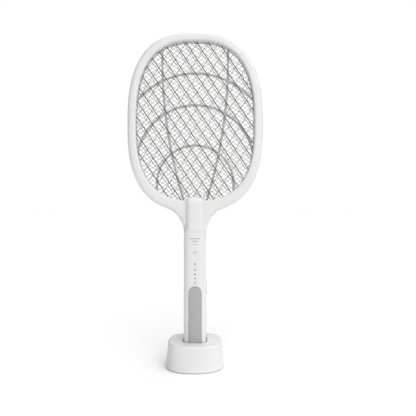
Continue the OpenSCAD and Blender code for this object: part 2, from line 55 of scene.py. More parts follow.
head_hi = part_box("head_front_frame")[1]
net_lo, net_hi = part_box("front_net")
handle_lo, handle_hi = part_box("handle_front_shell")
base_lo, base_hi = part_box("base_shell")
grip_lo, grip_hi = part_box("grip_inlay")
button_lo, button_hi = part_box("trigger_button")
cap_lo, cap_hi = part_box("end_cap")
rod_lo, rod_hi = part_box("hv_grid")
rib_lo, rib_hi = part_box("rod_carrier")
lens_lo, lens_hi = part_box("lamp_lens")
sensor_lo, sensor_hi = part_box("sensor_window")
pipe_lo, pipe_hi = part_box("light_pipe")
port_lo, port_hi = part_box("charging_port")

SQUARE = 2.65                 # squareness of the head's oval, where 2 is an ellipse
HEAD_A = head_hi.x
HEAD_RISE = 148 * MM          # height of the oval above its widest place
HEAD_DROP = 140.5 * MM        # and below it
HEAD_Z = head_hi.z - HEAD_RISE
BAND = 14 * MM                # width of the casing round the opening
NET_GRIP = 4 * MM             # how far the nets reach past the opening
OPEN_A = HEAD_A - BAND
OPEN_RISE = HEAD_RISE - BAND
OPEN_DROP = HEAD_Z - net_lo.z - NET_GRIP
OPEN_Z = HEAD_Z - OPEN_DROP
FACE = 9 * MM                 # half the head's thickness
LIP = 4.7 * MM                # depth of the lip's inner face
POCKET = 5.5 * MM             # how far the room for the nets' edges reaches past the opening
RIM = (0.3 * MM, 5.3 * MM)    # edges of the spacers' rims, past the opening
PARTING = 0.05 * MM           # half of the gap between two halves of a casing
GROOVE = 0.25 * MM            # chamfer along that gap
WELD = 0.002 * MM             # points closer than this become one
SCREW_HOLE = 2.8 * MM
SCREW_SINK = 5.6 * MM         # for the screws' heads
BOSS_D = 6.4 * MM             # bosses that take the screws

HANDLE_A = handle_hi.x
HANDLE_D = -handle_lo.y
HANDLE_R = 8 * MM             # depth of the corners' curve
HANDLE_CURVE = 13 * MM        # its width, so that the front is softly crowned
WALL = 2 * MM
PLUG_GAP = 0.15 * MM          # between the handle's wall and what plugs into it
PLUG_WALL = 1.6 * MM
SEAM = handle_hi.z + 0.1 * MM
SHOULDER_R = 43 * MM

SPINE_A = 14.25 * MM          # half the width of the raised spine
SPINE_Z = 273.3 * MM          # its highest point
SPINE_DOME = 5 * MM           # how far its end is arched
SPINE_FLARE = 8 * MM          # the height over which it widens to the handle's section

# A row of wires has a lean in degrees, a pitch, and a phase: how far one wire is from the head's middle.
ROD_LEAN, ROD_PITCH, ROD_PHASE = -56.3, 14.82 * MM, 2.4 * MM
LONG_PHASE = 13.1 * MM        # of the nets' long wires, which lie between the rods
RUNG_LEAN, RUNG_PITCH = 34.9, 5.74 * MM
FRONT_RUNG_PHASE, BACK_RUNG_PHASE = 4.56 * MM, 1.84 * MM
ROD_D = rod_hi.y - rod_lo.y
WIRE_D = 0.8 * MM

# Each arc has the height of its centre and its radius. The bars are straight above BAR_Z and bent below.
ARCS = ((350 * MM, 122.7 * MM), (325.7 * MM, 95.3 * MM), (293.4 * MM, 62.3 * MM))
ARC_LEG = 20 * MM             # the straight run at each end of an arc
BAR_X, BAR_R, BAR_Z = 53.3 * MM, 757 * MM, 493 * MM
BAR_START = OPEN_Z - 4 * MM
RIB_W = 3.6 * MM
RIB_END = 2.2 * MM            # how far the ribs run past the opening
RIB_EDGE = 0.6                # below 1, the ribs' section is squarer than an ellipse

BASE_SQUARE = 2.7             # squareness of the base's hollow
FOOT_SQUARE, TOP_SQUARE = 2.35, 3.0
BASE_A = base_hi.x
BASE_B = base_hi.y
STEEP = 0.6                   # the front and back lean in by this share of what the sides do
SOCKET = 0.9 * MM             # gap between the handle and its socket
PIN_X = 7 * MM                # the charging pins' distance from the middle


# ---- outlines ----

def power(value, exponent):
    """A power that keeps its value's sign."""
    return math.copysign(abs(value) ** exponent, value)


def turned(angle):
    """A unit vector at an angle in degrees."""
    return Vector((math.cos(math.radians(angle)), math.sin(math.radians(angle))))


def oval_point(a, up, down, square, turn, inset=0.0):
    """A point of a rounded oval, moved in along its normal; its upper and lower halves may differ."""
    d = turned(turn)
    b = up if d.y >= 0 else down
    p = Vector((a * power(d.x, 2 / square), b * power(d.y, 2 / square)))
    normal = Vector((power(p.x / a, square - 1) / a, power(p.y / b, square - 1) / b))
    return p - inset * normal.normalized()


def head_point(turn, inset=0.0):
    return Vector((0, HEAD_Z)) + oval_point(HEAD_A, HEAD_RISE, HEAD_DROP, SQUARE, turn, inset)


def opening(grow, count=144):
    """The head's opening, grown along its normal."""
    middle = Vector((0, HEAD_Z))
    turns = (360 * i / count for i in range(count))
    return [middle + oval_point(OPEN_A, OPEN_RISE, OPEN_DROP, SQUARE, t, -grow) for t in turns]


def nearest_turn(centre):
    """Where the head's oval passes nearest to a point below its right side."""
    lo, hi = -89.0, -20.0
    for _ in range(60):
        p, q = lo + (hi - lo) / 3, hi - (hi - lo) / 3
        if (head_point(p) - centre).length < (head_point(q) - centre).length:
            hi = q
        else:
            lo = p
    return (lo + hi) / 2


def shoulder_circle():
    """Centre of the circle that touches the handle's side and the head's oval."""
    lo, hi = 180 * MM, 240 * MM
    for _ in range(40):
        centre = Vector((HANDLE_A + SHOULDER_R, (lo + hi) / 2))
        if (head_point(nearest_turn(centre)) - centre).length > SHOULDER_R:
            lo = centre.y
        else:
            hi = centre.y
    return centre


SHOULDER = shoulder_circle()
SHOULDER_TURN = nearest_turn(SHOULDER)
SHOULDER_ANGLE = math.degrees((head_point(SHOULDER_TURN) - SHOULDER).angle_signed(Vector((1, 0))))
HEAD_FOOT = SEAM + 0.1 * MM


def head_outline(inset):
    """The head with its shoulders, down to the seam, moved in by inset."""
    steps, bends = 60, 14
    side = [head_point(90 + (SHOULDER_TURN - 90) * i / steps, inset) for i in range(steps + 1)]
    radius = SHOULDER_R + inset
    last = 180 - math.degrees(math.asin((HEAD_FOOT - SHOULDER.y) / radius))
    for i in range(1, bends + 1):
        side.append(SHOULDER + radius * turned(SHOULDER_ANGLE + (last - SHOULDER_ANGLE) * i / bends))
    return side + [Vector((-p.x, p.y)) for p in reversed(side[1:])]


def handle_half(depth):
    """Half the handle's width at a depth from its middle."""
    past = max(0.0, depth - (HANDLE_D - HANDLE_R)) / HANDLE_R
    return HANDLE_A - HANDLE_CURVE + HANDLE_CURVE * math.sqrt(max(0.0, 1 - past ** 2))


def spine_outline(depth, inset, drop, steps=16):
    """The spine at a depth. It widens towards the seam until it has the handle's section."""
    half = SPINE_A - inset
    radius = (SPINE_A ** 2 + SPINE_DOME ** 2) / (2 * SPINE_DOME)
    crown = SPINE_Z - drop - radius
    top = crown + math.sqrt(radius ** 2 - half ** 2)
    side = []
    for i in range(steps + 1):
        z = HEAD_FOOT + (top - HEAD_FOOT) * i / steps
        share = min(1.0, (z - HEAD_FOOT) / SPINE_FLARE)
        share = share * share * (3 - 2 * share)
        side.append(Vector((handle_half(depth) * (1 - share) + half * share, z)))
    dome = [half * (1 - i / 8) for i in range(1, 8)]
    right = side + [Vector((x, crown + math.sqrt(radius ** 2 - x ** 2))) for x in dome]
    peak = [Vector((0, crown + radius))]
    return right + peak + [Vector((-p.x, p.y)) for p in reversed(right)]


def handle_section(inset=0.0, curve=HANDLE_CURVE, steps=8):
    """The handle in X and Y, moved in by inset. It runs anticlockwise and has elliptical corners."""
    points = []
    for corner in range(4):
        sx = 1 if corner in (0, 3) else -1
        sy = 1 if corner < 2 else -1
        for i in range(steps + 1):
            d = turned(90 * (corner + i / steps))
            points.append(Vector((sx * (HANDLE_A - curve) + (curve - inset) * d.x,
                                  sy * (HANDLE_D - HANDLE_R) + (HANDLE_R - inset) * d.y)))
    return points


def socket_section(grow):
    """The base's socket, with squarer corners than the handle's."""
    return handle_section(-grow, HANDLE_R)


def shell_section(side, outer, inner):
    """Half of the handle's tube as one closed outline, with a chamfer along the parting line."""
    def half(inset):
        points = [p for p in handle_section(inset) if side * p.y > PARTING]
        return points if side > 0 else points[::-1]
    first, last = half(outer), half(inner)
    rim = HANDLE_A - outer
    start = [Vector((rim - GROOVE, side * PARTING)), Vector((rim, side * (PARTING + GROOVE)))]
    end = [Vector((-p.x, p.y)) for p in reversed(start)]
    bed = [Vector((x, side * PARTING)) for x in (-HANDLE_A + inner, HANDLE_A - inner)]
    return start + first + end + [bed[0]] + last[::-1] + [bed[1]]


def slot_outline(w, h, count=12):
    """A round-ended slot, w by h, centred on zero."""
    r = min(w, h) / 2
    far = Vector(((w - h) / 2, 0)) if w > h else Vector((0, (h - w) / 2))
    start = -90 if w > h else 0
    ends = ((far, start), (-far, start + 180))
    return [c + r * turned(s + 180 * i / count) for c, s in ends for i in range(count + 1)]


def grip_outline(inset, count=24):
    """The soft grip: an arched top and a flat foot."""
    r = grip_hi.x - inset
    top = grip_hi.z - grip_hi.x
    foot = grip_lo.z + inset
    arch = [Vector((0, top)) + r * turned(180 * i / count) for i in range(count + 1)]
    return arch + [Vector((-r, foot)), Vector((r, foot))]


def base_outline(z, inset, count=96):
    """The base at a height, moved in by inset, and less at its front and back. It gets squarer upwards."""
    a, b = BASE_A - inset, BASE_B - STEEP * inset
    square = FOOT_SQUARE + (TOP_SQUARE - FOOT_SQUARE) * (z - base_lo.z) / (base_hi.z - base_lo.z)
    return [oval_point(a, b, b, square, 360 * i / count) for i in range(count)]


def quarter(start, end, steps=6):
    """Steps of a rounded edge from start to end: the first value slows down, and the second speeds up."""
    for i in range(steps + 1):
        a = math.radians(90 * i / steps)
        along, inwards = math.sin(a), 1 - math.cos(a)
        yield start[0] + (end[0] - start[0]) * along, start[1] + (end[1] - start[1]) * inwards


# ---- rings and solids ----

def at_y(points, y):
    """An outline in X and Z as a ring at y. at_z and at_x do the same for the other planes."""
    return [Vector((p.x, y, p.y)) for p in points]


def at_z(points, z, centre=(0, 0)):
    return [Vector((centre[0] + p.x, centre[1] + p.y, z)) for p in points]


def at_x(points, x, centre=(0, 0)):
    return [Vector((x, centre[0] + p.x, centre[1] + p.y)) for p in points]


def circle(d, count=32):
    """A circle of a diameter, centred on zero."""
    return [d / 2 * turned(360 * i / count) for i in range(count)]


def tube(a, b, d, count=8):
    """A straight round bar between two points."""
    along = (b - a).normalized()
    side = along.orthogonal().normalized()
    other = along.cross(side)
    return [[end + p.x * side + p.y * other for p in circle(d, count)] for end in (a, b)]


def peg(x, z, y, d):
    """A round bar along Y from y[0] to y[1]."""
    return [at_y([Vector((x, z)) + p for p in circle(d)], depth) for depth in y]


def block(x, y, z):
    """A box between two values of x, y and z, lower ones first."""
    corners = ((0, 0), (1, 0), (1, 1), (0, 1))
    return [[Vector((x[i], y[j], height)) for i, j in corners] for height in z]


def add_loft(bm, rings, wrap):
    """Joins rings in order. wrap joins the last to the first, and otherwise both ends are capped."""
    rows = [[bm.verts.new(p) for p in ring] for ring in rings]
    pairs = list(zip(rows, rows[1:]))
    if wrap:
        pairs.append((rows[-1], rows[0]))
    for a, b in pairs:
        for i in range(len(a)):
            j = (i + 1) % len(a)
            bm.faces.new((a[i], a[j], b[j], b[i]))
    if not wrap:
        bm.faces.new(rows[0][::-1])
        bm.faces.new(rows[-1])


def solid(name, *lofts, wrap=False):
    """A mesh of closed lofts. A loft is a list of rings of equally many points."""
    bm = bmesh.new()
    for rings in lofts:
        add_loft(bm, rings, wrap)
    bmesh.ops.recalc_face_normals(bm, faces=bm.faces)
    mesh = bpy.data.meshes.new(name)
    bm.to_mesh(mesh)
    bm.free()
    piece = bpy.data.objects.new(name, mesh)
    bpy.context.scene.collection.objects.link(piece)
    return piece


def combine(piece, operation, *tools):
    """Joins tools to a piece or cuts them from it, and removes them."""
    for tool in tools:
        step = piece.modifiers.new("step", "BOOLEAN")
        step.operation = operation
        step.solver = "EXACT"
        step.object = tool
    graph = bpy.context.evaluated_depsgraph_get()
    mesh = bpy.data.meshes.new_from_object(piece.evaluated_get(graph))
    piece.modifiers.clear()
    bm = bmesh.new()
    bm.from_mesh(mesh)
    bmesh.ops.remove_doubles(bm, verts=bm.verts, dist=WELD)
    bmesh.ops.dissolve_degenerate(bm, edges=bm.edges, dist=WELD)
    bm.to_mesh(mesh)
    bm.free()
    piece.data = mesh
    for tool in tools:
        bpy.data.objects.remove(tool)
    return piece


def cut(piece, *lofts):
    """Cuts lofts from a piece."""
    return combine(piece, "DIFFERENCE", *[solid("tool", rings) for rings in lofts])


def join(piece, *lofts):
    """Joins lofts to a piece."""
    return combine(piece, "UNION", *[solid("tool", rings) for rings in lofts])


def dress(piece, body, slot, *nodes, look=None, angle=38, even=True):
    """Shades a piece, gives it its slot's finish or another look, and puts it in its nodes' place."""
    piece.data.shade_smooth()
    piece.data.set_sharp_from_angle(angle=math.radians(angle))
    if even:
        normals = piece.modifiers.new("normals", "WEIGHTED_NORMAL")
        normals.keep_sharp = True
    piece.data.materials.clear()
    piece.data.materials.append(MATERIALS[look or slot])
    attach(piece, body)
    if nodes:
        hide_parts(*nodes)
    return piece


# ---- materials ----

def noise(tree, coords, scale, detail, stretch=None):
    """A noise pattern fixed to the object, stretched along an axis if asked."""
    if stretch:
        mapping = tree.nodes.new("ShaderNodeMapping")
        mapping.inputs["Scale"].default_value = stretch
        tree.links.new(coords, mapping.inputs["Vector"])
        coords = mapping.outputs["Vector"]
    pattern = tree.nodes.new("ShaderNodeTexNoise")
    pattern.inputs["Scale"].default_value = scale
    pattern.inputs["Detail"].default_value = detail
    tree.links.new(coords, pattern.inputs["Vector"])
    return pattern.outputs["Fac"]


def finish(name, dark, light, rough, patch=60, grain=1500, relief=0.01, stretch=None, **sockets):
    """A finish whose colour runs from dark to light in patches, with a spread of roughness and a grain."""
    material = bpy.data.materials.new(name)
    material.use_nodes = True
    tree = material.node_tree
    shader = tree.nodes["Principled BSDF"]
    coords = tree.nodes.new("ShaderNodeTexCoord").outputs["Object"]
    patches = noise(tree, coords, patch, 4, stretch)
    ramp = tree.nodes.new("ShaderNodeValToRGB")
    ramp.color_ramp.elements[0].position = 0.35
    ramp.color_ramp.elements[0].color = (*dark, 1)
    ramp.color_ramp.elements[1].position = 0.65
    ramp.color_ramp.elements[1].color = (*light, 1)
    tree.links.new(patches, ramp.inputs["Fac"])
    tree.links.new(ramp.outputs["Color"], shader.inputs["Base Color"])
    fine = noise(tree, coords, grain, 3, stretch)
    spread = tree.nodes.new("ShaderNodeMapRange")
    spread.inputs["To Min"].default_value = rough[0]
    spread.inputs["To Max"].default_value = rough[1]
    tree.links.new(fine, spread.inputs["Value"])
    tree.links.new(spread.outputs["Result"], shader.inputs["Roughness"])
    bump = tree.nodes.new("ShaderNodeBump")
    bump.inputs["Strength"].default_value = 0.35
    bump.inputs["Distance"].default_value = relief * MM
    tree.links.new(fine, bump.inputs["Height"])
    tree.links.new(bump.outputs["Normal"], shader.inputs["Normal"])
    for socket, value in sockets.items():
        shader.inputs[socket.replace("_", " ")].default_value = value
    return material


def grey(level):
    return (level, level, level)


def clear_finish(name, tint, rough, **sockets):
    """A finish that lets most of the light through."""
    lighter = tuple(min(1.0, c * 1.08) for c in tint)
    return finish(name, tint, lighter, rough, Transmission_Weight=0.85, **sockets)


MATERIALS = {
    "white_plastic": finish("white_plastic", grey(0.69), grey(0.71), (0.3, 0.42), patch=25, grain=2200,
                            Coat_Weight=0.12, Coat_Roughness=0.25, IOR=1.49),
    "grip_rubber": finish("grip_rubber", grey(0.36), grey(0.39), (0.55, 0.72), grain=1300, relief=0.03,
                          Sheen_Weight=0.15, Sheen_Roughness=0.5),
    "foot_rubber": finish("foot_rubber", grey(0.03), grey(0.045), (0.7, 0.85), relief=0.04),
    "spacer_plastic": finish("spacer_plastic", grey(0.76), grey(0.8), (0.35, 0.5), patch=25),
    # The ribs are of the spacers' white plastic; this darker grey copy is painted shade, for their place
    # between the nets.
    "rib_plastic_painted_shade": finish("rib_plastic_painted_shade", grey(0.46), grey(0.5), (0.35, 0.5), patch=25),
    "net_steel": finish("net_steel", grey(0.38), grey(0.46), (0.18, 0.32), patch=300, Metallic=1.0),
    # A darker copy of the nets' steel for their long wires, which lie under the short ones: the darker grey
    # is painted shade.
    "long_wire_steel_painted_shade": finish("long_wire_steel_painted_shade", grey(0.16), grey(0.24), (0.3, 0.42),
                              patch=300, Metallic=1.0),
    "rod_steel": finish("rod_steel", grey(0.025), grey(0.05), (0.3, 0.42), patch=200, Metallic=0.8),
    "screw_steel": finish("screw_steel", grey(0.42), grey(0.52), (0.25, 0.4), patch=500, Metallic=1.0),
    "port_steel": finish("port_steel", grey(0.5), grey(0.6), (0.22, 0.32), Metallic=1.0),
    "nickel_tab": finish("nickel_tab", (0.6, 0.58, 0.53), (0.68, 0.66, 0.61), (0.25, 0.4),
                         stretch=(1, 1, 8), Metallic=1.0),
    "contact_brass": finish("contact_brass", (0.72, 0.5, 0.2), (0.85, 0.62, 0.28), (0.2, 0.34),
                            patch=400, Metallic=1.0),
    "circuit_board": finish("circuit_board", (0.008, 0.09, 0.035), (0.015, 0.15, 0.06), (0.25, 0.4),
                            patch=350, Coat_Weight=0.4, Coat_Roughness=0.15),
    "lamp_window": clear_finish("lamp_window", (0.72, 0.7, 0.86), (0.3, 0.45)),
    "violet_lens": clear_finish("violet_lens", (0.6, 0.5, 0.88), (0.08, 0.14)),
    "smoked_lens": finish("smoked_lens", grey(0.01), grey(0.016), (0.3, 0.4), Specular_IOR_Level=0.25),
    "sensor_lens": finish("sensor_lens", grey(0.56), grey(0.6), (0.12, 0.22),
                          Coat_Weight=0.5, Coat_Roughness=0.1),
    "led_body": finish("led_body", (0.75, 0.73, 0.5), (0.82, 0.8, 0.58), (0.25, 0.4)),
    "ferrite_black": finish("ferrite_black", grey(0.03), grey(0.05), (0.45, 0.65), relief=0.03),
    "capacitor_red": finish("capacitor_red", (0.42, 0.07, 0.03), (0.5, 0.1, 0.04), (0.2, 0.35),
                            relief=0.03),
    "black_plastic": finish("black_plastic", grey(0.015), grey(0.03), (0.35, 0.5)),
    "battery_wrap": finish("battery_wrap", (0.03, 0.13, 0.42), (0.04, 0.17, 0.5), (0.25, 0.36)),
    "red_lead": finish("red_lead", (0.5, 0.02, 0.015), (0.6, 0.03, 0.02), (0.35, 0.5)),
    "black_lead": finish("black_lead", grey(0.012), grey(0.025), (0.35, 0.5)),
    "switch_white": finish("switch_white", grey(0.7), grey(0.76), (0.35, 0.5)),
    "print_grey": finish("print_grey", grey(0.36), grey(0.42), (0.5, 0.65), patch=900),
}


def dress_frame():
    """The CAD nodes take the finish of the slot that the record names."""
    for part in frame["record"]["subparts"]:
        data = frame["nodes"][part["node"]].data
        data.materials.clear()
        data.materials.append(MATERIALS[part["material_slot"]])


# ---- head ----

# Rounded edges have the depth where they start, and how far they go from there to the face.
EDGE_BEND, EDGE_IN = 3 * MM, 7.4 * MM
MOUTH_BEND, MOUTH_OUT = 5.8 * MM, 3.6 * MM
SPINE_BEND, SPINE_IN, SPINE_DOWN = 8.6 * MM, 8 * MM, 14 * MM    # its sides go in, and its end goes down
APART = 0.02 * MM             # keeps two faces from lying in one plane
NECK_A, NECK_DEPTH, NECK_TOP = 11.5 * MM, 13.8 * MM, 258 * MM   # the hollow through the spine
THROAT_DEPTH = 4.6 * MM       # and its shallow end under the nets
TONGUE_FOOT = 204 * MM        # the tongue that plugs into the handle
LAMP_A, LAMP_Y, LAMP_Z = 9.5 * MM, (-12.2 * MM, -6.7 * MM), (256 * MM, 267 * MM)    # the lamp's room
LENS_GAP = 0.1 * MM
HEAD_SCREW_TURNS = (10, 50, 90, 130, 170, 215, 325)
HEAD_SCREW_IN = 5.5 * MM      # the screws' distance from the casing's edge
HEAD_SINK = 2.4 * MM


def head_body(name, side):
    """One half of the head's casing: band, shoulders and spine. side is -1 in front and 1 behind."""
    edge = [(PARTING, GROOVE), (PARTING + GROOVE, 0.0)] + list(quarter((EDGE_BEND, 0), (FACE, EDGE_IN), 8))
    piece = solid(name, [at_y(head_outline(inset), side * depth) for depth, inset in edge])
    mouth = [(-MM, POCKET), (LIP, POCKET), (LIP, 0)] + list(quarter((MOUTH_BEND, 0), (FACE, MOUTH_OUT), 5))
    mouth.append((FACE + MM, MOUTH_OUT + 0.8 * MM))
    cut(piece, [at_y(opening(grow), side * depth) for depth, grow in mouth])
    rise = [(LIP + APART, 0.0, 0.0)]
    for depth, share in quarter((SPINE_BEND, 0), (HANDLE_D, 1), 9):
        rise.append((depth, share * SPINE_IN, share * SPINE_DOWN))
    join(piece, [at_y(spine_outline(*level), side * level[0]) for level in rise])
    neck = (-NECK_A, NECK_A)
    cut(piece,
        block(neck, sorted((side * NECK_DEPTH, -side * MM)), (SEAM - MM, NECK_TOP)),
        block(neck, sorted((side * THROAT_DEPTH, -side * MM)), (NECK_TOP - MM, OPEN_Z - POCKET + 2 * MM)))
    outer = WALL + PLUG_GAP
    tongue = shell_section(side, outer, outer + PLUG_WALL)
    return join(piece, [at_z(tongue, z) for z in (TONGUE_FOOT, SEAM + 2 * MM)])


def head_front():
    """The front half also holds the lamp, and has a slot for its window."""
    piece = head_body("head_front_shell", -1)
    low, high = lens_lo - Vector([LENS_GAP] * 3), lens_hi + Vector([LENS_GAP] * 3)
    cut(piece,
        block((-LAMP_A, LAMP_A), LAMP_Y, LAMP_Z),
        block((low.x, high.x), (low.y, high.y), (low.z, SPINE_Z + MM)))
    dress(piece, "racket", "white_plastic", "head_front_frame")


def head_back():
    """The rear half has the holes of the head's screws."""
    piece = head_body("head_back_shell", 1)
    holes = []
    for turn in HEAD_SCREW_TURNS:
        p = head_point(turn, HEAD_SCREW_IN)
        holes.append(peg(p.x, p.y, (0, FACE + MM), SCREW_HOLE))
        holes.append(peg(p.x, p.y, (FACE - HEAD_SINK, FACE + MM), SCREW_SINK))
    cut(piece, *holes)
    dress(piece, "racket", "white_plastic", "head_back_frame")


# ---- nets, rods and ribs ----

WIRE_END = NET_GRIP - 0.5 * MM    # how far the wires run past the opening
ROD_END = 3.2 * MM                # and the rods
STRIP, STRIP_Y = (2.9 * MM, 3.6 * MM), (-0.3 * MM, 0.3 * MM)     # the strip that joins the rods


def inside(p, grow):
    """Whether a point lies in the opening, grown on all sides."""
    b = OPEN_RISE + grow if p.y > HEAD_Z else OPEN_DROP + grow
    return abs(p.x / (OPEN_A + grow)) ** SQUARE + abs((p.y - HEAD_Z) / b) ** SQUARE < 1


def edge_between(path, inner, outer, grow):
    """The share of a path, between one inside and one outside, where it leaves the grown opening."""
    for _ in range(30):
        middle = (inner + outer) / 2
        if inside(path(middle), grow):
            inner = middle
        else:
            outer = middle
    return inner


def chord(lean, offset, grow):
    """The two ends of a straight wire across the opening."""
    along, across = turned(lean), turned(lean + 90)
    foot = Vector((0, HEAD_Z)) + offset * across
    if not inside(foot, -2 * MM):
        return None
    reach = 2 * HEAD_RISE
    ahead = edge_between(lambda t: foot + t * reach * along, 0, 1, grow)
    behind = edge_between(lambda t: foot - t * reach * along, 0, 1, grow)
    return foot + ahead * reach * along, foot - behind * reach * along


def wires(lean, pitch, phase, y, d, grow, mirror=1, count=8):
    """A row of straight wires across the opening. mirror is -1 to make them lean the other way."""
    found = []
    turns = math.ceil(HEAD_RISE / pitch)
    for i in range(-turns, turns + 1):
        ends = chord(lean, i * pitch + phase, grow)
        if ends:
            a, b = (Vector((mirror * p.x, y, p.y)) for p in ends)
            found.append(tube(a, b, d, count))
    return found


def net(name, node, outer, inner, rung_phase, mirror):
    """Long wires with short wires laid across them, on the outside, and welded."""
    side = -1 if outer < 0 else 1
    rung_y = outer - side * WIRE_D / 2
    long_y = inner + side * WIRE_D / 2
    long = wires(ROD_LEAN, ROD_PITCH, LONG_PHASE, long_y, WIRE_D, WIRE_END, mirror)
    rungs = wires(RUNG_LEAN, RUNG_PITCH, rung_phase, rung_y, WIRE_D, WIRE_END, mirror)
    # The long wires take the darker copy of the nets' steel: painted shade.
    dress(solid(name + "_long", *long), "racket", "net_steel", look="long_wire_steel_painted_shade", even=False)
    dress(solid(name + "_rungs", *rungs), "racket", "net_steel", node, even=False)


def rim(name, grow, y):
    """A flat ring that follows the opening."""
    corners = ((grow[0], y[0]), (grow[1], y[0]), (grow[1], y[1]), (grow[0], y[1]))
    return solid(name, [at_y(opening(g), depth) for g, depth in corners], wrap=True)


def rods():
    """The thick wires between the nets, welded to a strip round the opening."""
    piece = rim("spark_rods", STRIP, STRIP_Y)
    bars = solid("bars", *wires(ROD_LEAN, ROD_PITCH, ROD_PHASE, 0, ROD_D, ROD_END, count=12))
    combine(piece, "UNION", bars)
    dress(piece, "racket", "rod_steel", "hv_grid", even=False)


def bar_path(side):
    """Up one of the two long bars."""
    def at(share):
        z = BAR_START + (HEAD_RISE + OPEN_DROP) * share
        return Vector((side * (BAR_X - BAR_R + math.sqrt(BAR_R ** 2 - min(0, z - BAR_Z) ** 2)), z))
    return at


def arc_path(z, r):
    """Up a straight leg, over an arc and down the other leg."""
    total = 2 * ARC_LEG + math.pi * r

    def at(share):
        run = share * total
        if run < ARC_LEG:
            return Vector((r, z - ARC_LEG + run))
        if run > total - ARC_LEG:
            return Vector((-r, z - ARC_LEG + total - run))
        return Vector((0, z)) + r * turned(math.degrees((run - ARC_LEG) / r))
    return at


def rib(path, count=56):
    """A soft-edged strip along the part of a path that lies in the opening."""
    low = edge_between(path, 0.5, 0, RIB_END)
    high = edge_between(path, 0.5, 1, RIB_END)
    middle, half = (rib_lo.y + rib_hi.y) / 2, (rib_hi.y - rib_lo.y) / 2
    rings = []
    for i in range(count + 1):
        t = low + (high - low) * i / count
        p = path(t)
        along = (path(t + 0.001) - path(t - 0.001)).normalized()
        across = Vector((-along.y, along.x))
        ring = []
        for turn in range(0, 360, 20):
            d = turned(turn)
            q = p + RIB_W / 2 * power(d.x, RIB_EDGE) * across
            ring.append(Vector((q.x, middle + half * power(d.y, RIB_EDGE), q.y)))
        rings.append(ring)
    return rings


def ribs():
    """A white rim with arcs and bars across it, all of one white plastic; the arcs and bars are painted
    grey as shade.
    """
    dress(rim("rib_ring", RIM, (rib_lo.y, rib_hi.y)), "racket", "spacer_plastic", "rod_carrier")
    first, *others = [arc_path(*arc) for arc in ARCS] + [bar_path(side) for side in (-1, 1)]
    piece = join(solid("rod_ribs", rib(first)), *[rib(path) for path in others])
    # The ribs keep the spacers' slot, and are painted a darker grey as shade.
    dress(piece, "racket", "spacer_plastic", look="rib_plastic_painted_shade")


# ---- handle ----

HANDLE_SCREW_ZS = (22 * MM, 103 * MM, 198.5 * MM)
HANDLE_SINK = 2.6 * MM
SCREW_REACH = 11 * MM         # depth of the blind holes in the front shell
LAMP_ZS = (136 * MM, 142.7 * MM, 149.1 * MM, 155.9 * MM, 165.4 * MM)
LAMP_HOLE, STUD_R = 2.3 * MM, 1.1 * MM
DOME_H, DOME_IN = 0.3 * MM, 0.55 * MM     # a stud's dome, and how far in its top stands
SENSOR_Z = (sensor_lo.z + sensor_hi.z) / 2
SENSOR_W, SENSOR_H = 6.4 * MM, 3.2 * MM
BUTTON_Z = (button_lo.z + button_hi.z) / 2
BUTTON_W, BUTTON_H = 8 * MM, 23.4 * MM
BUTTON_GAP = 0.3 * MM
CAP_T = 3 * MM
CAP_BEND = 1.6 * MM
PAD_HOLE, PAD_BED, PAD_T = 4.6 * MM, 5.8 * MM, 0.6 * MM     # holes and beds of the charging contacts
FRONT = -HANDLE_D
BEHIND_WALL = FRONT + WALL + 0.1 * MM     # just behind the front wall
BACKING = (-12 * MM, 12 * MM)             # the thicker wall behind the grip
BACKING_Y = (FRONT + WALL / 2, FRONT + 3.2 * MM)
BACKING_Z = (cap_hi.z + 0.3 * MM, grip_hi.z + 2.2 * MM)
GRIP_GAP = 0.5 * MM                       # groove round the grip
GRIP_EDGE, GRIP_CROWN = 1.45 * MM, 1.25 * MM    # depth of the grip's edge, and of its crown's foot


def handle_half_shell(name, side):
    """Half of the handle's tube, with its bosses. side is -1 in front and 1 behind."""
    low, high = cap_lo.z + CAP_T + 0.05 * MM, SEAM - 0.15 * MM
    ends = ((low, GROOVE), (low + GROOVE, 0), (high - GROOVE, 0), (high, GROOVE))
    piece = solid(name, [at_z(shell_section(side, inset, WALL), z) for z, inset in ends])
    wall = side * (HANDLE_D - WALL / 2)
    join(piece, *[peg(0, z, sorted((side * PARTING, wall)), BOSS_D) for z in HANDLE_SCREW_ZS])
    return piece


def button_hole():
    """Through the right wall, half in each shell."""
    hole = slot_outline(BUTTON_W + 2 * BUTTON_GAP, BUTTON_H + 2 * BUTTON_GAP)
    return [at_x(hole, x, (0, BUTTON_Z)) for x in (12 * MM, HANDLE_A + MM)]


def handle_front():
    """The front shell, with the grip's bed and the holes of the lamps, the sensor and the screws."""
    piece = handle_half_shell("handle_front", -1)
    join(piece, block(BACKING, BACKING_Y, BACKING_Z))
    bed = ((1.6 * MM, 0), (1.2 * MM, 0), (0.4 * MM, 0.5 * MM), (-MM, 1.3 * MM))
    holes = [[at_y(grip_outline(-GRIP_GAP - grow), FRONT + depth) for depth, grow in bed]]
    holes += [peg(0, z, (FRONT - MM, 0), LAMP_HOLE) for z in LAMP_ZS]
    holes += [peg(0, z, (-SCREW_REACH, MM), SCREW_HOLE) for z in HANDLE_SCREW_ZS]
    holes.append([at_y(sensor_outline(0.2 * MM), y) for y in (FRONT - MM, FRONT + 3 * MM)])
    cut(piece, button_hole(), *holes)
    groove = ((-GRIP_GAP, 1.2 * MM), (0.3 * MM, 1.2 * MM), (0.3 * MM, 2.5 * MM), (-GRIP_GAP, 2.5 * MM))
    rings = [at_y(grip_outline(inset), FRONT + depth) for inset, depth in groove]
    combine(piece, "DIFFERENCE", solid("tool", rings, wrap=True))
    dress(piece, "racket", "white_plastic", "handle_front_shell")


def handle_back():
    """The rear shell, with the holes of the handle's screws."""
    piece = handle_half_shell("handle_back", 1)
    holes = [peg(0, z, (0, HANDLE_D + MM), SCREW_HOLE) for z in HANDLE_SCREW_ZS]
    holes += [peg(0, z, (HANDLE_D - HANDLE_SINK, HANDLE_D + MM), SCREW_SINK) for z in HANDLE_SCREW_ZS]
    cut(piece, button_hole(), *holes)
    dress(piece, "racket", "white_plastic", "handle_back_shell")


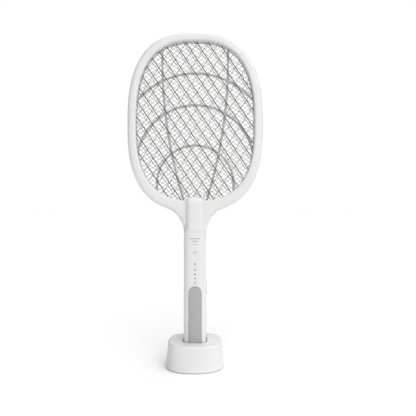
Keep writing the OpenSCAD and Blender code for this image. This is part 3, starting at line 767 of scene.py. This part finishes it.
def grip():
    """The soft grip, crowned from its edges to its middle line."""
    levels = [(grip_hi.y, 0), (FRONT + GRIP_EDGE, 0), (FRONT + GRIP_EDGE - 0.15 * MM, 0.3 * MM)]
    for share in (0.06, 0.12, 0.2, 0.35, 0.5, 0.65, 0.8, 0.92, 0.985):
        levels.append((FRONT + GRIP_CROWN * (1 - share) ** 2.2, share * grip_hi.x))
    piece = solid("grip", [at_y(grip_outline(inset), y) for y, inset in levels])
    dress(piece, "racket", "grip_rubber", "grip_inlay", angle=60)


def end_cap():
    """The handle's foot: a cap with a hollow plug and the beds of two charging contacts."""
    foot = cap_lo.z
    shoulder = foot + CAP_T
    outer = [at_z(handle_section(CAP_BEND * inset), foot + CAP_BEND * up)
             for inset, up in quarter((1, 0), (0, 1), 5)]
    outer.append(at_z(handle_section(), shoulder))
    piece = solid("handle_end_cap", outer)
    inset = WALL + PLUG_GAP
    plug = [at_z(handle_section(inset), z) for z in (shoulder - 0.5 * MM, cap_hi.z)]
    well = [at_z(handle_section(inset + PLUG_WALL), z) for z in (shoulder, cap_hi.z + MM)]
    join(piece, plug)
    holes = []
    for x in (-PIN_X, PIN_X):
        for d, z in ((PAD_HOLE, foot - MM), (PAD_BED, foot + PAD_T)):
            holes.append([at_z(circle(d), height, (x, 0)) for height in (z, cap_hi.z + MM)])
    cut(piece, well, *holes)
    dress(piece, "racket", "white_plastic", "end_cap")


def indicators():
    """Five smoked studs with domed ends on one moulded bar."""
    bend = ((0.5, 0.1), (0.85, 0.45), (1, 1))
    dome = [(pipe_hi.y, 0), (FRONT + DOME_H, 0)]
    dome += [(FRONT + DOME_H * (1 - up), DOME_IN * share) for up, share in bend]
    studs = [[at_y([Vector((0, z)) + p for p in circle(2 * (STUD_R - inset), 20)], y) for y, inset in dome]
             for z in LAMP_ZS]
    bar = block((pipe_lo.x, pipe_hi.x), (BEHIND_WALL, pipe_hi.y - 0.05 * MM), (pipe_lo.z, pipe_hi.z))
    piece = join(solid("indicator_studs", bar), *studs)
    dress(piece, "racket", "smoked_lens", "light_pipe")


def sensor_outline(grow):
    """The sensor's window, grown in width and height."""
    return [Vector((0, SENSOR_Z)) + p for p in slot_outline(SENSOR_W + grow, SENSOR_H + grow)]


def sensor():
    """A window with a flange behind the wall and a domed face."""
    flange = 2 * MM
    levels = ((sensor_hi.y, flange), (BEHIND_WALL, flange), (BEHIND_WALL, 0), (FRONT + 0.5 * MM, 0),
              (FRONT + 0.2 * MM, -0.3 * MM), (FRONT + 0.05 * MM, -0.9 * MM), (FRONT, -1.6 * MM))
    piece = solid("light_sensor", [at_y(sensor_outline(grow), y) for y, grow in levels])
    dress(piece, "racket", "sensor_lens", "sensor_window")


def printed_marks():
    """Three plain bars near the seam, and a row of three dashes under the top stud and the lowest one."""
    ink = (FRONT - 0.04 * MM, FRONT + 0.02 * MM)
    # x, z, width and height in millimetres
    marks = [(0, 205.5, 16, 1.4), (0, 201.5, 9.6, 1.2), (0, 195.9, 7, 0.9)]
    marks += [(x, LAMP_ZS[-1] / MM - 3.6, 1.6, 0.6) for x in (-2.6, 0, 2.6)]
    marks += [(x, LAMP_ZS[0] / MM - 2.9, 2.2, 0.6) for x in (-3.2, 0, 3.2)]
    lofts = [[at_y([Vector((x, z)) * MM + p for p in slot_outline(w * MM, h * MM, 6)], y) for y in ink]
             for x, z, w, h in marks]
    dress(solid("printed_marks", *lofts), "racket", None, look="print_grey", even=False)


# ---- side button ----

def button():
    """A round-ended button with a crowned face, a flange inside the wall and a post for the switch."""
    face = button_hi.x
    flange, inner = 2.6 * MM, HANDLE_A - 3.4 * MM
    levels = [(inner, flange), (inner + 1.1 * MM, flange), (inner + 1.1 * MM, 0)]
    levels += [(x, -2 * inset) for x, inset in quarter((face - MM, 0), (face, 1.1 * MM), 5)]
    piece = solid("side_button", [at_x(slot_outline(BUTTON_W + grow, BUTTON_H + grow), x, (0, BUTTON_Z))
                                  for x, grow in levels])
    post_d, post_y = 3.4 * MM, -3.8 * MM
    join(piece, [at_x(circle(post_d), x, (post_y, BUTTON_Z)) for x in (button_lo.x, inner + 0.5 * MM)])
    dress(piece, "trigger", "white_plastic", "trigger_button")


# ---- base ----

BASE_SCREWS = [(x * MM, y * MM) for x in (-33, 33) for y in (-11, 11)]
SCREW_TOP = 14 * MM           # of the blind holes in the bosses
BASE_WALL = 6.5 * MM          # at the foot; the walls lean in above it
BASE_UNDER, BASE_BEND = 1.7 * MM, 4.2 * MM      # radii of the foot's and the top's edge
TAPER, FLARE, FLARE_H = 0.066, 1.55 * MM, 3.4 * MM
ROOF = 2.4 * MM
WELL_FLOOR = cap_lo.z - 0.3 * MM
PIN_HOLE = 3.6 * MM
COVER_TOP = 2.45 * MM         # the bosses start here, above the bottom cover


def base_side(z):
    """How far the base's wall stands in at a height above its lower edge: a taper with a small flare."""
    return TAPER * z + FLARE * (1 - math.exp(-z / FLARE_H))


def base_shell():
    """The base's housing: a hollow shell with the handle's socket, bosses, and holes for pins and inlet."""
    top, foot = base_hi.z, base_lo.z
    levels = [(foot + BASE_UNDER * up, BASE_UNDER * g) for g, up in quarter((1, 0), (0, 1), 4)]
    low, high = foot + BASE_UNDER, top - BASE_BEND
    heights = [low + (high - low) * (i / 14) ** 1.6 for i in range(1, 15)]
    levels += [(z, base_side(z - low)) for z in heights]
    start = levels[-1]
    levels += list(quarter(start, (top, start[1] + BASE_BEND), 7))[1:]
    piece = solid("base_housing", [at_z(base_outline(z, inset), z) for z, inset in levels])
    a, b = BASE_A - BASE_WALL, BASE_B - BASE_WALL
    hollow = [oval_point(a, b, b, BASE_SQUARE, 360 * i / 48) for i in range(48)]
    cut(piece, [at_z(hollow, z) for z in (-MM, top - ROOF)])
    into_roof = top - ROOF / 2
    bosses = [[at_z(circle(BOSS_D), z, p) for z in (foot + COVER_TOP, into_roof)] for p in BASE_SCREWS]
    socket = [at_z(socket_section(SOCKET + WALL), z) for z in (WELL_FLOOR - WALL, into_roof)]
    join(piece, socket, *bosses)
    mouth = [(WELL_FLOOR, SOCKET)] + list(quarter((top - MM, SOCKET), (top, SOCKET + MM), 4))
    mouth.append((top + MM, SOCKET + 1.2 * MM))
    holes = [[at_z(circle(PIN_HOLE), z, (x, 0)) for z in (0, WELL_FLOOR + MM)] for x in (-PIN_X, PIN_X)]
    holes += [[at_z(circle(SCREW_HOLE), z, p) for z in (0, SCREW_TOP)] for p in BASE_SCREWS]
    cut(piece, [at_z(socket_section(grow), z) for z, grow in mouth], *holes, port_hole())
    dress(piece, "base", "white_plastic", "base_shell")


def port_outline(grow):
    """The inlet's shell in X and Z, grown on all sides."""
    w, h = port_hi.x - port_lo.x, port_hi.z - port_lo.z
    centre = Vector((0, (port_hi.z + port_lo.z) / 2))
    return [centre + p for p in slot_outline(w + 2 * grow, h + 2 * grow)]


def port_hole():
    """A close fit round the inlet, and a flared mouth behind it."""
    fit, mouth = 0.2 * MM, 1.4 * MM
    levels = ((port_lo.y - MM, fit), (BASE_B - 2.6 * MM, fit), (BASE_B + MM, mouth))
    return [at_y(port_outline(grow), y) for y, grow in levels]


def port():
    """The inlet: a rolled steel shell with a rounded lip, and a tongue in it."""
    lip, sheet, back = 0.15 * MM, 0.4 * MM, 0.8 * MM
    outer = ((port_lo.y, 0), (port_hi.y - lip, 0), (port_hi.y, -lip))
    piece = solid("inlet", [at_y(port_outline(grow), y) for y, grow in outer])
    cut(piece, [at_y(port_outline(-sheet), y) for y in (port_lo.y + back, port_hi.y + MM)])
    tongue_a, tongue_t, middle = 3.2 * MM, 0.3 * MM, (port_lo.z + port_hi.z) / 2
    join(piece, block((-tongue_a, tongue_a), (port_lo.y + 0.5 * MM, port_hi.y - 1.6 * MM),
                      (middle - tongue_t, middle + tongue_t)))
    dress(piece, "base", "port_steel", "charging_port")


# ---- stage ----

FLOOR_R = 40
EYE = (0.0207, -0.62, 0.254)  # level with the object's middle, and a little to the right of it
LENS, SENSOR = 33.1, 36
KEY = dict(place=(0.5, -1.0, 1.0), size=0.9, watts=0.8)
AIM = Vector((0, 0, 0.25))
# The surround's light changes smoothly from a start to an end, from a low level to a high one.
SKY = Vector((0.4, -0.4, 0.82)).normalized()      # the middle of the wide light overhead
OVERHEAD = (0.35, 0.95, 0.0, 1.55)                # by how near a direction is to SKY
FROM_LEFT = (-0.9, 0.12, -0.4, 0.8)               # by X, so that the far left is dim
FROM_RIGHT = (0.28, 0.95, 0.0, 1.0)               # taken off towards the far right


def stage():
    """A pale floor, the surround, a soft lamp from the right in front, and the camera."""
    bm = bmesh.new()
    bmesh.ops.create_circle(bm, cap_ends=True, segments=96, radius=FLOOR_R)
    mesh = bpy.data.meshes.new("floor")
    bm.to_mesh(mesh)
    bm.free()
    floor = bpy.data.objects.new("floor", mesh)
    bpy.context.scene.collection.objects.link(floor)
    floor.data.materials.append(finish("floor_paint", grey(0.93), grey(0.95), (0.9, 1.0), patch=3, grain=80,
                                       Specular_IOR_Level=0.0))
    surround()
    soft_lamp("key_lamp", **KEY)
    camera = bpy.data.cameras.new("camera")
    camera.lens = LENS
    camera.sensor_width = SENSOR
    eye = bpy.data.objects.new("camera", camera)
    eye.location = EYE
    eye.rotation_euler = (math.radians(90), 0, 0)
    bpy.context.scene.collection.objects.link(eye)
    bpy.context.scene.camera = eye
    bpy.context.scene.view_settings.view_transform = "Standard"


def soft_lamp(name, place, size, watts):
    """A square area lamp that points at the object."""
    lamp = bpy.data.lights.new(name, "AREA")
    lamp.shape = "SQUARE"
    lamp.size = size
    lamp.energy = watts
    holder = bpy.data.objects.new(name, lamp)
    holder.location = place
    holder.rotation_euler = (AIM - Vector(place)).to_track_quat("-Z", "Y").to_euler()
    bpy.context.scene.collection.objects.link(holder)


def world_math(tree, operation, first, second):
    """A maths node on two values, each a number or another node's output."""
    node = tree.nodes.new("ShaderNodeMath")
    node.operation = operation
    for socket, value in zip(node.inputs, (first, second)):
        if isinstance(value, (int, float)):
            socket.default_value = value
        else:
            tree.links.new(value, socket)
    return node.outputs["Value"]


def smooth_range(tree, value, start, end, low, high):
    """Goes smoothly from low to high as a value goes from start to end."""
    node = tree.nodes.new("ShaderNodeMapRange")
    node.interpolation_type = "SMOOTHSTEP"
    for name, number in (("From Min", start), ("From Max", end), ("To Min", low), ("To Max", high)):
        node.inputs[name].default_value = number
    tree.links.new(value, node.inputs["Value"])
    return node.outputs["Result"]


def surround():
    """A studio all round: a wide soft light overhead, dim at both sides, and white to the camera."""
    world = bpy.data.worlds.new("surround")
    bpy.context.scene.world = world
    world.use_nodes = True
    tree = world.node_tree
    tree.nodes.clear()
    coords = tree.nodes.new("ShaderNodeTexCoord").outputs["Generated"]
    parts = tree.nodes.new("ShaderNodeSeparateXYZ")
    tree.links.new(coords, parts.inputs["Vector"])
    towards = tree.nodes.new("ShaderNodeVectorMath")
    towards.operation = "DOT_PRODUCT"
    towards.inputs[1].default_value = SKY
    tree.links.new(coords, towards.inputs[0])
    overhead = smooth_range(tree, towards.outputs["Value"], *OVERHEAD)
    left = smooth_range(tree, parts.outputs["X"], *FROM_LEFT)
    right = smooth_range(tree, parts.outputs["X"], *FROM_RIGHT)
    level = world_math(tree, "SUBTRACT", world_math(tree, "ADD", overhead, left), right)
    level = world_math(tree, "MAXIMUM", level, 0.0)
    lighting = tree.nodes.new("ShaderNodeBackground")
    lighting.inputs["Strength"].default_value = 1.0
    tree.links.new(level, lighting.inputs["Color"])
    seen = tree.nodes.new("ShaderNodeBackground")
    seen.inputs["Color"].default_value = (1, 1, 1, 1)
    path = tree.nodes.new("ShaderNodeLightPath")
    mix = tree.nodes.new("ShaderNodeMixShader")
    tree.links.new(path.outputs["Is Camera Ray"], mix.inputs["Fac"])
    tree.links.new(lighting.outputs["Background"], mix.inputs[1])
    tree.links.new(seen.outputs["Background"], mix.inputs[2])
    out = tree.nodes.new("ShaderNodeOutputWorld")
    tree.links.new(mix.outputs["Shader"], out.inputs["Surface"])


# ---- the whole ----

dress_frame()
head_front()
head_back()
net("front_wires", "front_net", net_lo.y, net_hi.y, FRONT_RUNG_PHASE, 1)
net("back_wires", "back_net", -net_lo.y, -net_hi.y, BACK_RUNG_PHASE, -1)
rods()
ribs()
handle_front()
handle_back()
grip()
end_cap()
indicators()
sensor()
printed_marks()
button()
base_shell()
port()
stage()
